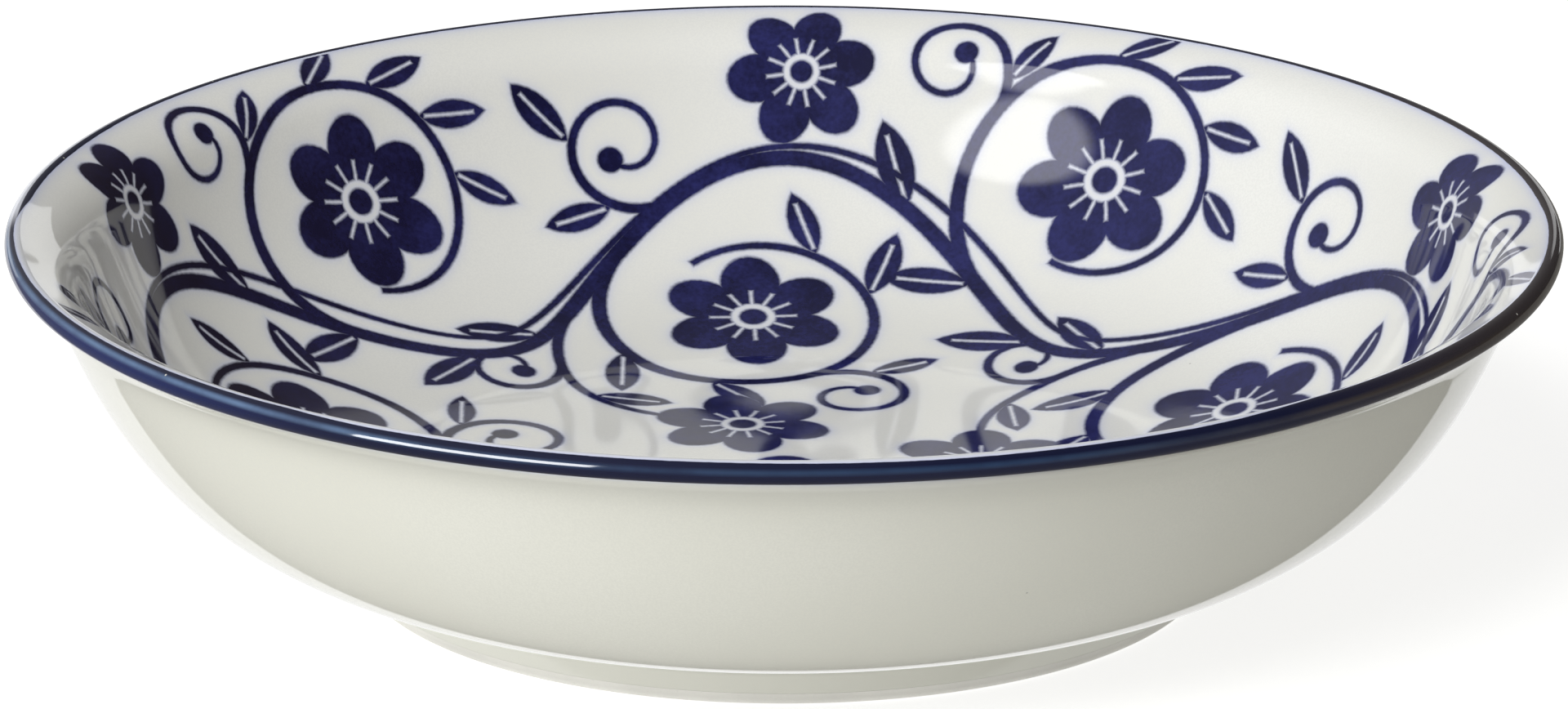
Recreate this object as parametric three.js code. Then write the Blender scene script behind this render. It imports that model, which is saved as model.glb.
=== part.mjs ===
// A shallow porcelain bowl with a turned-out lip, standing on a foot ring.
// The clay, the ring, the glaze coats and the painted band of the lip are separate solids of revolution.
// Millimetres and degrees, +Z up. The origin is the middle of the circle that the foot stands on.
import * as THREE from 'three';

// Lip and wall, measured over the glaze
const RIM_DIAMETER = 210; // over the outside of the lip
const HEIGHT = 49; // from the standing edge to the top of the lip
const LIP_THICKNESS = 3.2; // the lip is a half round of this thickness
const LIP_RISE = 30; // rise of the turned-out lip above level
const NECK_INSET = 6.2; // from the outside of the lip in to the neck below it
const NECK_DROP = 8; // from the top of the lip down to the neck
const FLARE_REACH = 3; // pull of the neck and of the lip on the hollow between them
const WALL_SLOPE = 69; // slope of the wall at the neck
const WALL_REACH = 27; // pull of the neck on the wall's curve
const HEEL_SLOPE = 12.5; // slope of the underside where it leaves the foot ring
const HEEL_REACH = 18; // pull of the foot on the wall's curve
const WALL_THICKNESS = 4; // at the neck
const HEEL_THICKNESS = 6.5; // over the foot ring
const FLOOR_THICKNESS = 4.6; // in the middle
const FLOOR_FLAT = 36; // pull of the flat middle on the floor's curve
const FLOOR_REACH = 8; // pull of the heel on the floor's curve

// Foot ring
const FOOT_DIAMETER = 116; // over the standing edge
const FOOT_HEIGHT = 5.5; // from the standing edge to the recess and the heel
const FOOT_WIDTH = 4.6; // of the ring at its standing edge
const FOOT_DRAFT = 0.8; // how far each face leans away over the foot's height
const FOOT_EDGE = 1.1; // rounding of the standing edge
const BARE_HEIGHT = 1.8; // unglazed clay above the standing surface

// Coats
const GLAZE_THICKNESS = 0.3;
const SEAT = 0.02; // clearance between two pieces that lie on each other

// Facets of the turned solids
const SIDES = 48;
const WALL_STEPS = 9;
const FLARE_STEPS = 3;
const LIP_STEPS = 6;
const FLOOR_STEPS = 4;
const EDGE_STEPS = 3;

const CLAY = { color: 0xe6dfd0, roughness: 0.85, metalness: 0 };
const WHITE_GLAZE = { color: 0xe2e1d9, roughness: 0.1, metalness: 0 };
const BLUE_BAND = { color: 0x1c2748, roughness: 0.12, metalness: 0 };

const radians = THREE.MathUtils.degToRad;
const { lerp, smoothstep } = THREE.MathUtils;
const point = (radius, height) => new THREE.Vector2(radius, height);
const steps = (count) => Array.from({ length: count + 1 }, (_, i) => i / count);

// The point at a distance from a start, in a direction given as a slope.
function along(start, slope, distance) {
  const angle = radians(slope);
  return point(start.x + distance * Math.cos(angle), start.y + distance * Math.sin(angle));
}

// The two faces of the foot ring, as radii at a height.
const footOutside = (height) => FOOT_DIAMETER / 2 + (FOOT_DRAFT * height) / FOOT_HEIGHT;
const footInside = (height) => FOOT_DIAMETER / 2 - FOOT_WIDTH - (FOOT_DRAFT * height) / FOOT_HEIGHT;

// Outside of the bowl: the wall from heel to neck, the hollow under the lip and the lip's half round.
const lipRadius = LIP_THICKNESS / 2;
const lipCentre = point(RIM_DIAMETER / 2 - lipRadius, HEIGHT - lipRadius);
const lipStart = along(lipCentre, LIP_RISE - 90, lipRadius);
const neck = point(RIM_DIAMETER / 2 - NECK_INSET, HEIGHT - NECK_DROP);
const heel = point(footOutside(FOOT_HEIGHT), FOOT_HEIGHT);
const wallCurve = new THREE.CubicBezierCurve(
  heel,
  along(heel, HEEL_SLOPE, HEEL_REACH),
  along(neck, WALL_SLOPE, -WALL_REACH),
  neck,
);
const flareCurve = new THREE.CubicBezierCurve(
  neck,
  along(neck, WALL_SLOPE, FLARE_REACH),
  along(lipStart, LIP_RISE, -FLARE_REACH),
  lipStart,
);
const lipCurve = new THREE.EllipseCurve(
  lipCentre.x,
  lipCentre.y,
  lipRadius,
  lipRadius,
  radians(LIP_RISE - 90),
  radians(LIP_RISE + 90),
);

// The inside runs beside the outside, at the thickness that the clay and its coats have there.
function beside(curve, t, thickness) {
  const forward = curve.getTangent(t);
  return curve.getPoint(t).add(point(-forward.y, forward.x).multiplyScalar(thickness));
}
const wallThickness = (t) => lerp(HEEL_THICKNESS, WALL_THICKNESS, smoothstep(t, 0, 1));
const flareThickness = (t) => lerp(WALL_THICKNESS, LIP_THICKNESS, t);
const insideHeel = beside(wallCurve, 0, HEEL_THICKNESS);
const floorMiddle = point(0, FOOT_HEIGHT + FLOOR_THICKNESS);
const floorCurve = new THREE.CubicBezierCurve(
  insideHeel,
  along(insideHeel, HEEL_SLOPE, -FLOOR_REACH),
  point(FLOOR_FLAT, floorMiddle.y),
  floorMiddle,
);

// One outline of the glazed bowl, from the axis under the floor round the lip to the axis above it.
const upWall = steps(WALL_STEPS).map((t) => wallCurve.getPoint(t));
const upFlare = steps(FLARE_STEPS).map((t) => flareCurve.getPoint(t));
const roundLip = steps(LIP_STEPS).map((t) => lipCurve.getPoint(t));
const downFlare = steps(FLARE_STEPS).map((t) => beside(flareCurve, 1 - t, flareThickness(1 - t)));
const downWall = steps(WALL_STEPS).map((t) => beside(wallCurve, 1 - t, wallThickness(1 - t)));
const inFloor = floorCurve.getPoints(FLOOR_STEPS);
const surface = [
  point(0, FOOT_HEIGHT),
  ...upWall.slice(0, -1),
  ...upFlare.slice(0, -1),
  ...roundLip,
  ...downFlare.slice(1),
  ...downWall.slice(1),
  ...inFloor.slice(1),
];
const heelIndex = 1;
const lipStartIndex = heelIndex + WALL_STEPS + FLARE_STEPS;
const lipEndIndex = lipStartIndex + LIP_STEPS;

// The same outline a given depth below the surface, with its corners mitred. On the axis the outline
// meets its own mirror image, so a point there stays on the axis.
function sunk(outline, depth) {
  const normals = outline.slice(1).map((end, i) => {
    const edge = end.clone().sub(outline[i]).normalize();
    return point(-edge.y, edge.x);
  });
  const mirrored = (normal) => point(-normal.x, normal.y);
  return outline.map((corner, i) => {
    const before = normals[i - 1] ?? mirrored(normals[i]);
    const after = normals[i] ?? mirrored(normals[i - 1]);
    const mitre = before.clone().add(after).divideScalar(1 + before.dot(after));
    return corner.clone().addScaledVector(mitre, depth);
  });
}
const glazeBack = sunk(surface, GLAZE_THICKNESS);
const clay = sunk(surface, GLAZE_THICKNESS + SEAT);

// A solid of revolution. An outline that doesn't run from axis to axis is closed on itself.
function turned(name, outline, finish) {
  const onAxis = outline[0].x === 0 && outline.at(-1).x === 0;
  const profile = onAxis ? outline : [...outline, outline[0]];
  const geometry = new THREE.LatheGeometry(profile, SIDES);
  geometry.rotateX(Math.PI / 2);
  const mesh = new THREE.Mesh(geometry, new THREE.MeshStandardMaterial(finish));
  mesh.name = name;
  return mesh;
}

// A coat over one stretch of the bowl's outline: its back from one side, then its face.
function coat(name, first, last, finish) {
  const back = glazeBack.slice(first, last + 1).reverse();
  const face = surface.slice(first, last + 1);
  return turned(name, [...back, ...face], finish);
}

// The ring's clay: rounded standing edge, bare foot, and faces set back to take their coats.
function footRing() {
  const setBack = GLAZE_THICKNESS + SEAT;
  const bareTop = BARE_HEIGHT - SEAT;
  const top = FOOT_HEIGHT + GLAZE_THICKNESS;
  const edge = (centre, from) =>
    new THREE.EllipseCurve(centre, FOOT_EDGE, FOOT_EDGE, FOOT_EDGE, radians(from), radians(from + 90))
      .getPoints(EDGE_STEPS);
  return turned('foot_ring', [
    ...edge(footInside(0) + FOOT_EDGE, 180),
    ...edge(footOutside(0) - FOOT_EDGE, 270),
    point(footOutside(bareTop), bareTop),
    point(footOutside(bareTop) - setBack, bareTop),
    point(footOutside(top) - setBack, top),
    point(footInside(top) + setBack, top),
    point(footInside(bareTop) + setBack, bareTop),
    point(footInside(bareTop), bareTop),
  ], CLAY);
}

// The coat on the ring's outer face, from the bare clay up to the heel.
function footGlaze() {
  const top = FOOT_HEIGHT - SEAT;
  return turned('foot_glaze', [
    point(footOutside(BARE_HEIGHT), BARE_HEIGHT),
    point(footOutside(top), top),
    point(footOutside(top) - GLAZE_THICKNESS, top),
    point(footOutside(BARE_HEIGHT) - GLAZE_THICKNESS, BARE_HEIGHT),
  ], WHITE_GLAZE);
}

// The coat in the recess: under the floor and down the ring's inner face.
function baseGlaze() {
  const back = FOOT_HEIGHT + GLAZE_THICKNESS;
  return turned('base_glaze', [
    point(0, FOOT_HEIGHT),
    point(footInside(FOOT_HEIGHT), FOOT_HEIGHT),
    point(footInside(BARE_HEIGHT), BARE_HEIGHT),
    point(footInside(BARE_HEIGHT) + GLAZE_THICKNESS, BARE_HEIGHT),
    point(footInside(back) + GLAZE_THICKNESS, back),
    point(0, back),
  ], WHITE_GLAZE);
}

const bowl = new THREE.Group();
bowl.name = 'bowl';
bowl.add(
  turned('bowl_body', clay, CLAY),
  footRing(),
  coat('outside_glaze', heelIndex, lipStartIndex, WHITE_GLAZE),
  coat('rim_band', lipStartIndex, lipEndIndex, BLUE_BAND),
  coat('inside_glaze', lipEndIndex, surface.length - 1, WHITE_GLAZE),
  footGlaze(),
  baseGlaze(),
);

export default bowl;
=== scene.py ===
"""A shallow porcelain bowl: white glaze, a printed scroll inside, a dark blue lip and a bare foot."""
import math
from bisect import bisect_left

import bpy
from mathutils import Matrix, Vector


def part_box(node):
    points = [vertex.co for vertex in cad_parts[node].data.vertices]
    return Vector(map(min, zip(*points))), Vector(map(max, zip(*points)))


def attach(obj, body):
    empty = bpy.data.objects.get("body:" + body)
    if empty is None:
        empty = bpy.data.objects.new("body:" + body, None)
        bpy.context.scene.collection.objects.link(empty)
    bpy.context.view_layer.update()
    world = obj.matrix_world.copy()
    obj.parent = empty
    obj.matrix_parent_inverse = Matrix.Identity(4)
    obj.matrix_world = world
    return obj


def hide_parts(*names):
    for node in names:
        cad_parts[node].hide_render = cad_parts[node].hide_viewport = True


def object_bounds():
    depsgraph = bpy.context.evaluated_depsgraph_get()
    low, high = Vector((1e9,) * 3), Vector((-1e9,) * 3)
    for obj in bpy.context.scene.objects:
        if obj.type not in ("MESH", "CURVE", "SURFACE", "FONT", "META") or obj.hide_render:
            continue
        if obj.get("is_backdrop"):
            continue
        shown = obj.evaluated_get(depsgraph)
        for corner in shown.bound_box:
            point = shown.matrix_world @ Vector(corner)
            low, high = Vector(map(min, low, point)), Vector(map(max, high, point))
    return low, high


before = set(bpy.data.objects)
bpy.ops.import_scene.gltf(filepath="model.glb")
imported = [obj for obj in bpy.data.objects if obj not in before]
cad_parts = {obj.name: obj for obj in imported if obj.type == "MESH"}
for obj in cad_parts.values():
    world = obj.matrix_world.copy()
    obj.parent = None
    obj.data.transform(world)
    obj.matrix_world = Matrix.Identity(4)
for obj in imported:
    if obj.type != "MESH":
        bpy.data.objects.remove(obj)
CAD_BOX = [list(corner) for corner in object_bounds()]

bl_info = {
    "name": "Porcelain bowl",
    "version": (1, 0, 0),
    "blender": (4, 5, 0),
    "location": "View3D > Sidebar > Bowl",
    "description": "Makes a turned porcelain bowl with a printed inside, piece by piece",
    "category": "Add Mesh",
}

MM = 0.001
RIM_DIAMETER = CAD_BOX[1][0] - CAD_BOX[0][0]
HEIGHT = CAD_BOX[1][2] - CAD_BOX[0][2]
FOOT_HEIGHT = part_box("outside_glaze")[0].z
BARE_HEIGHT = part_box("foot_glaze")[0].z

# Steps of the turned outlines
SIDES = 256
WALL_STEPS = 36
FLARE_STEPS = 10
LIP_STEPS = 18
FLOOR_STEPS = 30
EDGE_STEPS = 8
WELD = 1e-6
SMOOTH_UNDER = math.radians(35)

# The print is drawn in millimetres on a flat plan of the inside, this far from its middle to its edge
PLAN_RADIUS = 110.0


def length(name, description, default):
    """A property that holds a length."""
    return bpy.props.FloatProperty(
        name=name, description=description, default=default, unit="LENGTH", precision=5
    )


def angle(name, description, degrees):
    """A property that holds an angle."""
    turn = math.radians(degrees)
    return bpy.props.FloatProperty(
        name=name, description=description, default=turn, unit="ROTATION", subtype="ANGLE"
    )


def colour(name, description, *tones):
    """A property that holds a colour, given as red, green and blue."""
    tint = (*tones, 1.0)
    return bpy.props.FloatVectorProperty(
        name=name, description=description, default=tint, size=4, min=0.0, max=1.0, subtype="COLOR"
    )


class BowlSizes(bpy.types.PropertyGroup):
    """Sizes of the bowl, measured over the glaze."""

    rim_diameter: length("Rim diameter", "Over the outside of the lip", RIM_DIAMETER)
    height: length("Height", "From the standing edge to the top of the lip", HEIGHT)
    lip_thickness: length("Lip thickness", "The lip is a half round of this thickness", 3.2 * MM)
    lip_rise: angle("Lip rise", "Rise of the turned-out lip above level", 30)
    neck_inset: length("Neck inset", "From the outside of the lip in to the neck", 6.2 * MM)
    neck_drop: length("Neck drop", "From the top of the lip down to the neck", 8 * MM)
    flare_reach: length("Flare reach", "Pull of the neck and the lip on the hollow between them", 3 * MM)
    wall_slope: angle("Wall slope", "Slope of the wall at the neck", 69)
    wall_reach: length("Wall reach", "Pull of the neck on the wall's curve", 27 * MM)
    heel_slope: angle("Heel slope", "Slope of the underside where it leaves the foot", 12.5)
    heel_reach: length("Heel reach", "Pull of the foot on the wall's curve", 18 * MM)
    wall_thickness: length("Wall thickness", "At the neck", 4 * MM)
    heel_thickness: length("Heel thickness", "Over the foot ring", 6.5 * MM)
    floor_thickness: length("Floor thickness", "In the middle", 4.6 * MM)
    floor_flat: length("Floor flat", "Pull of the flat middle on the floor's curve", 36 * MM)
    floor_reach: length("Floor reach", "Pull of the heel on the floor's curve", 8 * MM)
    foot_diameter: length("Foot diameter", "Over the standing edge", 116 * MM)
    foot_height: length("Foot height", "From the standing edge to the recess", FOOT_HEIGHT)
    foot_width: length("Foot width", "Of the ring at its standing edge", 4.6 * MM)
    foot_draft: length("Foot draft", "How far each face of the ring leans away", 0.8 * MM)
    foot_edge: length("Foot edge", "Rounding of the standing edge", 1.1 * MM)
    bare_height: length("Bare height", "Unglazed clay above the standing surface", BARE_HEIGHT)
    glaze_thickness: length("Glaze thickness", "Of every coat", 0.3 * MM)
    seat: length("Seat", "Clearance between two pieces that lie on each other", 0.02 * MM)


class BowlColours(bpy.types.PropertyGroup):
    """Colours of the bowl's finishes."""

    # The outside's white is darker than the inside's white partly by its own tone, and partly as painted
    # shade on the outer wall and painted light on the inside
    glaze: colour("White glaze", "Cream white of the glaze", 0.646, 0.646, 0.588)
    inside: colour("Inside glaze", "White under the print", 0.825, 0.827, 0.793)
    ink: colour("Print", "Cobalt blue of the print where it lies thick", 0.006, 0.006, 0.038)
    thin_ink: colour("Thin print", "The print where it lies thin", 0.022, 0.024, 0.125)
    # Painted shade: the print on the left is drawn darker and browner
    shaded_left_ink: colour("Print, left", "The print where it was fired darkest", 0.014, 0.009, 0.018)
    bleed: colour("Bleed", "Blue that has run into the glaze beside the print", 0.38, 0.44, 0.77)
    band: colour("Lip band", "Dark blue of the lip", 0.006, 0.008, 0.030)
    # Painted sheen and painted light: the lip's paler blue on the left and in front, and the bluer dark
    # beside it on the left
    left_band_sheen: colour("Lip band, left", "The lip's blue where it lies thinnest", 0.100, 0.160, 0.275)
    lit_left_edge: colour("Lip band, left edges", "The blue beside its thinnest part", 0.010, 0.018, 0.085)
    front_band_sheen: colour("Lip band, front", "The lip's blue where it lies thin", 0.022, 0.042, 0.092)
    # The lip is drawn browner towards the right
    right_band: colour("Lip band, right", "The lip where the fire has browned it", 0.050, 0.040, 0.035)
    clay: colour("Bare clay", "Fired clay of the standing edge", 0.88, 0.87, 0.82)


def along(start, slope, distance):
    """The point at a distance from a start, in a direction given as a slope."""
    return start + Vector((math.cos(slope), math.sin(slope))) * distance


def shares(count):
    """Even shares from 0 to 1."""
    return [i / count for i in range(count + 1)]


class Sweep:
    """A cubic curve in the section, and the way it runs."""

    def __init__(self, *points):
        self.points = points

    def at(self, t):
        a, b, c, d = self.points
        return a * (1 - t) ** 3 + b * (3 * t * (1 - t) ** 2) + c * (3 * t * t * (1 - t)) + d * t**3

    def beside(self, t, distance):
        """The point at a distance to the left of the curve."""
        a, b, c, d = self.points
        run = (b - a) * (1 - t) ** 2 + (c - b) * (2 * t * (1 - t)) + (d - c) * t * t
        run.normalize()
        return self.at(t) + Vector((-run.y, run.x)) * distance


class Section:
    """Half of the bowl's section: its surfaces, the glaze's back and the clay, as radii and heights."""

    def __init__(self, size):
        self.size = size
        lip_radius = size.lip_thickness / 2
        rim = size.rim_diameter / 2
        lip_centre = Vector((rim - lip_radius, size.height - lip_radius))
        lip_from = size.lip_rise - math.pi / 2
        lip_start = along(lip_centre, lip_from, lip_radius)
        self.lip_centre = lip_centre
        neck = Vector((rim - size.neck_inset, size.height - size.neck_drop))
        heel = self.foot_outside(size.foot_height)
        wall = Sweep(
            heel,
            along(heel, size.heel_slope, size.heel_reach),
            along(neck, size.wall_slope, -size.wall_reach),
            neck,
        )
        flare = Sweep(
            neck,
            along(neck, size.wall_slope, size.flare_reach),
            along(lip_start, size.lip_rise, -size.flare_reach),
            lip_start,
        )
        inside_heel = wall.beside(0, size.heel_thickness)
        floor_middle = Vector((0, size.foot_height + size.floor_thickness))
        floor = Sweep(
            inside_heel,
            along(inside_heel, size.heel_slope, -size.floor_reach),
            Vector((size.floor_flat, floor_middle.y)),
            floor_middle,
        )

        def wall_thickness(t):
            ease = t * t * (3 - 2 * t)
            return size.heel_thickness + (size.wall_thickness - size.heel_thickness) * ease

        def flare_thickness(t):
            return size.wall_thickness + (size.lip_thickness - size.wall_thickness) * t

        outside = [wall.at(t) for t in shares(WALL_STEPS)[:-1]]
        outside += [flare.at(t) for t in shares(FLARE_STEPS)[:-1]]
        lip = [along(lip_centre, lip_from + math.pi * t, lip_radius) for t in shares(LIP_STEPS)]
        inside = [flare.beside(1 - t, flare_thickness(1 - t)) for t in shares(FLARE_STEPS)[1:]]
        inside += [wall.beside(1 - t, wall_thickness(1 - t)) for t in shares(WALL_STEPS)[1:]]
        inside += [floor.at(t) for t in shares(FLOOR_STEPS)[1:]]
        self.surface = [Vector((0, size.foot_height)), *outside, *lip, *inside]
        self.heel = 1
        self.lip_start = self.heel + len(outside)
        self.lip_end = self.lip_start + LIP_STEPS
        self.middle = len(self.surface) - 1
        self.back = self.sunk(size.glaze_thickness)
        self.clay = self.sunk(size.glaze_thickness + size.seat)

    def foot_outside(self, height, inset=0.0):
        """The point at a height on the foot's outer face, or set into the foot."""
        size = self.size
        lean = size.foot_draft * height / size.foot_height
        return Vector((size.foot_diameter / 2 + lean - inset, height))

    def foot_inside(self, height, inset=0.0):
        """The point at a height on the foot's inner face, or set into the foot."""
        size = self.size
        lean = size.foot_draft * height / size.foot_height
        return Vector((size.foot_diameter / 2 - size.foot_width - lean + inset, height))

    def sunk(self, depth):
        """The surface moved into the clay, with its corners mitred and its ends kept on the axis."""
        edges = [(end - start).normalized() for start, end in zip(self.surface, self.surface[1:])]
        normals = [Vector((-edge.y, edge.x)) for edge in edges]
        before = [Vector((-normals[0].x, normals[0].y)), *normals]
        after = [*normals, Vector((-normals[-1].x, normals[-1].y))]
        moved = []
        for corner, one, other in zip(self.surface, before, after):
            moved.append(corner + (one + other) * (depth / (1 + one.dot(other))))
        return moved

    def coat(self, first, last):
        """Closed outline of a coat over one stretch of the surface: its back, then its face."""
        outline = self.back[first : last + 1][::-1] + self.surface[first : last + 1]
        closed = outline[0].x < WELD and outline[-1].x < WELD
        return outline if closed else [*outline, outline[0]]


def turned(name, outline):
    """A piece turned about Z: the outline is drawn point by point and spun."""
    bpy.ops.object.select_all(action="DESELECT")
    bpy.ops.mesh.primitive_plane_add(size=MM, location=(outline[0].x, 0, outline[0].y))
    piece = bpy.context.object
    piece.name = name
    piece.data.name = name
    bpy.ops.object.transform_apply(location=True, rotation=True, scale=True)
    bpy.ops.object.mode_set(mode="EDIT")
    bpy.ops.mesh.select_all(action="SELECT")
    bpy.ops.mesh.merge(type="CENTER")
    for start, end in zip(outline, outline[1:]):
        step = end - start
        bpy.ops.mesh.extrude_region_move(TRANSFORM_OT_translate={"value": (step.x, 0, step.y)})
    bpy.ops.mesh.select_all(action="SELECT")
    bpy.ops.mesh.spin(
        steps=SIDES, angle=2 * math.pi, center=(0, 0, 0), axis=(0, 0, 1), use_auto_merge=True
    )
    bpy.ops.mesh.select_all(action="SELECT")
    bpy.ops.mesh.remove_doubles(threshold=WELD)
    bpy.ops.mesh.normals_make_consistent(inside=False)
    bpy.ops.object.mode_set(mode="OBJECT")
    bpy.ops.object.shade_smooth_by_angle(angle=SMOOTH_UNDER)
    return piece


# The wall mirrors the bright table under it, not these
LOW_PIECES = ("foot_ring", "foot_glaze", "base_glaze")


def finished(piece, finish, node):
    """Gives a piece its material, hangs it on the root body and hides the solid that it stands for."""
    piece.data.materials.clear()
    piece.data.materials.append(finish)
    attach(piece, "root")
    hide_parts(node)
    piece.visible_glossy = node not in LOW_PIECES


class Value:
    """A number that changes over a surface. Python's sums on it become Math nodes."""

    def __init__(self, sheet, socket):
        self.sheet = sheet
        self.socket = socket

    def maths(self, operation, *terms):
        return self.sheet.node("Math", {"operation": operation}, dict(enumerate(terms)))

    def __add__(self, other):
        return self.maths("ADD", self, other)

    def __radd__(self, other):
        return self.maths("ADD", other, self)

    def __sub__(self, other):
        return self.maths("SUBTRACT", self, other)

    def __rsub__(self, other):
        return self.maths("SUBTRACT", other, self)

    def __mul__(self, other):
        return self.maths("MULTIPLY", self, other)

    def __rmul__(self, other):
        return self.maths("MULTIPLY", other, self)

    def __truediv__(self, other):
        return self.maths("DIVIDE", self, other)

    def __abs__(self):
        return self.maths("ABSOLUTE", self)

    def __round__(self):
        return self.maths("ROUND", self)

    def lower(self, other):
        return self.maths("MINIMUM", self, other)

    def higher(self, other):
        return self.maths("MAXIMUM", self, other)

    def clamped(self, lowest, highest):
        return self.higher(lowest).lower(highest)

    def wrapped(self, lowest, highest):
        return self.maths("WRAP", self, highest, lowest)

    def cos(self):
        return self.maths("COSINE", self)

    def sin(self):
        return self.maths("SINE", self)

    def exp(self):
        return self.maths("EXPONENT", self)

    def log(self):
        return self.maths("LOGARITHM", self, math.e)

    def root(self):
        return self.maths("SQRT", self)

    def over(self, limit):
        return self.maths("GREATER_THAN", self, limit)


def far(x, y):
    """Length of (x, y)."""
    return (x * x + y * y).root()


def turn_of(y, x):
    """Angle of (x, y)."""
    return x.maths("ARCTAN2", y, x)


class Sheet:
    """A node tree, and the one way in which nodes are added to it."""

    def __init__(self, tree):
        self.tree = tree
        tree.nodes.clear()

    def node(self, kind, settings=None, sockets=None, output=0):
        """Adds a node, with its settings first and then the values or links of its sockets."""
        made = self.tree.nodes.new("ShaderNode" + kind)
        for key, value in (settings or {}).items():
            setattr(made, key, value)
        for key, value in (sockets or {}).items():
            if isinstance(value, Value):
                self.tree.links.new(value.socket, made.inputs[key])
            else:
                made.inputs[key].default_value = value
        return Value(self, made.outputs[output] if len(made.outputs) else None)

    def mixed(self, share, first, second):
        """A colour between two colours."""
        return self.node("Mix", {"data_type": "RGBA"}, {0: share, 6: first, 7: second}, 2)

    def noise(self, place, scale, detail=2.0, roughness=0.5):
        """Soft random patches, from 0 to 1."""
        sockets = {"Vector": place, "Scale": scale, "Detail": detail, "Roughness": roughness}
        return self.node("TexNoise", None, sockets)

    def ramp(self, value, lowest, highest, first=0.0, last=1.0):
        """A value carried smoothly from one range to another."""
        sockets = {0: value, 1: lowest, 2: highest, 3: first, 4: last}
        return self.node("MapRange", {"interpolation_type": "SMOOTHSTEP"}, sockets)

    def place(self):
        """Where on the piece a point lies, in metres."""
        return self.node("TexCoord", None, None, "Object")

    def axes(self, vector, names):
        """Coordinates of a place or a direction."""
        return [self.node("SeparateXYZ", None, {"Vector": vector}, name) for name in names]

    def bump(self, height):
        """A surface raised by a height in metres."""
        return self.node("Bump", None, {"Strength": 1.0, "Distance": 1.0, "Height": height})


def shaded(tint, share):
    """A colour made darker or lighter by a share."""
    return tuple(min(tone * share, 1.0) for tone in tint[:3]) + (1.0,)


def new_finish(name):
    """A material with an empty sheet."""
    material = bpy.data.materials.new(name)
    material.use_nodes = True
    return material, Sheet(material.node_tree)


def surfaced(sheet, base, roughness, bump=None, **fixed):
    """Ends a sheet in one shader. Fixed values go on the shader's own sockets."""
    sockets = {"Base Color": base, "Roughness": roughness}
    if bump:
        sockets["Normal"] = bump
    sockets.update({key.replace("_", " "): value for key, value in fixed.items()})
    shader = sheet.node("BsdfPrincipled", None, sockets)
    sheet.node("OutputMaterial", None, {"Surface": shader})


# Most of a noise lies between these
NOISE_SPAN = (0.3, 0.7)

# Glaze: how it lies, and the little faults in it, with scales in patches to a metre
GLAZE_INDEX = 1.55
GLAZE_SMOOTH = 0.035
GLAZE_DULL = 0.075
DULL_SCALE = 45.0
DULL_PATCHES = (0.35, 0.75)
WAVE_SCALE = 70.0
WAVE_HEIGHT = 0.012 * MM
PEEL_SCALE = 420.0
PEEL_HEIGHT = 0.0012 * MM
CLOUD_SCALE = 22.0
CLOUD_TINT = (0.965, 0.962, 0.945, 1.0)
GRAIN_SCALE = 3200.0
GRAIN_PATCHES = (0.35, 0.65)
GRAIN_SHADE = 0.94
GRAIN_SHARE = 0.75
SPECK_SCALE = 160.0
SPECK_SIZE = (0.012, 0.035)
SPECK_SHADE = 0.45
WHITE_SPECKS = 0.05
WHITE_SPECK_SHARE = 0.7
BAND_SPECKS = 0.8
BAND_SPECK_SHARE = 0.9

# How far short of the lip's top the band's paint stops, or below zero how far past the top it runs
BAND_SHORT_FRONT = 0.62 * MM
BAND_SHORT_LEFT = 0.3 * MM
BAND_SHORT_RIGHT = -0.45 * MM
BAND_SHORT_BACK = -0.5 * MM
BAND_SHORT_BACK_LEFT = -0.78 * MM
BAND_SHORT_BACK_RIGHT = -0.74 * MM
BAND_SHORT_LEAST = -1.0 * MM
DIP_DEPTH = 0.16 * MM
BAND_RAG = 0.12 * MM
BAND_RAG_SCALE = 500.0
BAND_EDGE = (-0.05 * MM, 0.07 * MM)
BLEED_REACH = 0.65 * MM
BLEED_SHARE = 0.6

# Where that changes round the lip, as shares of its radius to the right
TURNS_LEFT = (-0.7, -0.3)
TURNS_RIGHT = (0.55, 0.95)
TURNS_BACK_LEFT = (-0.96, -0.84)
TURNS_BACK_RIGHT = (0.6, 0.95)
DIP_MIDDLE = 0.2
DIP_HALF = 0.3

# Where that changes round the lip, as shares of its radius to the front
TURNS_BACK = (-0.12, 0.03)
TURNS_FRONT = (math.cos(math.radians(52)), math.cos(math.radians(30)))

# The band's blue: the tilt of its painted sheen, a line of paler blue on the lip's round, and how it
# changes from left to right, paler on the left as painted light
SHEEN_TILT_LEFT = math.radians(42)
SHEEN_TILT_FRONT = math.radians(15)
SHEEN_REACH = math.radians(24)
SHEEN_STRETCH = (-0.95, -0.3)
SHEEN_SCALE = 95.0
SHEEN_PATCHES = (0.2, 0.65)
SHEEN_LEAST = 0.35
LEFT_STRETCH = (-0.75, -0.2)
LEFT_EDGE_STRETCH = (-0.92, -0.5)
LEFT_EDGE_TILT = (-0.1, 0.4)
RIGHT_STRETCH = (0.25, 0.85)
BROWNER_STRETCH = (0.6, 0.95)
BROWNER_SHARE = 0.7

# At the bowl's left end the top of the lip is drawn pale instead of blue
PALE_TOP_BACK = (-0.5, -0.36)
PALE_TOP_FRONT = (-0.06, 0.04)
PALE_TOP_LOW = (math.radians(35), math.radians(50))
PALE_TOP_HIGH = (math.radians(82), math.radians(90))
PALE_TOP_BLEED = 0.3
PALE_TOP_SHARE = 0.9

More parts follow.
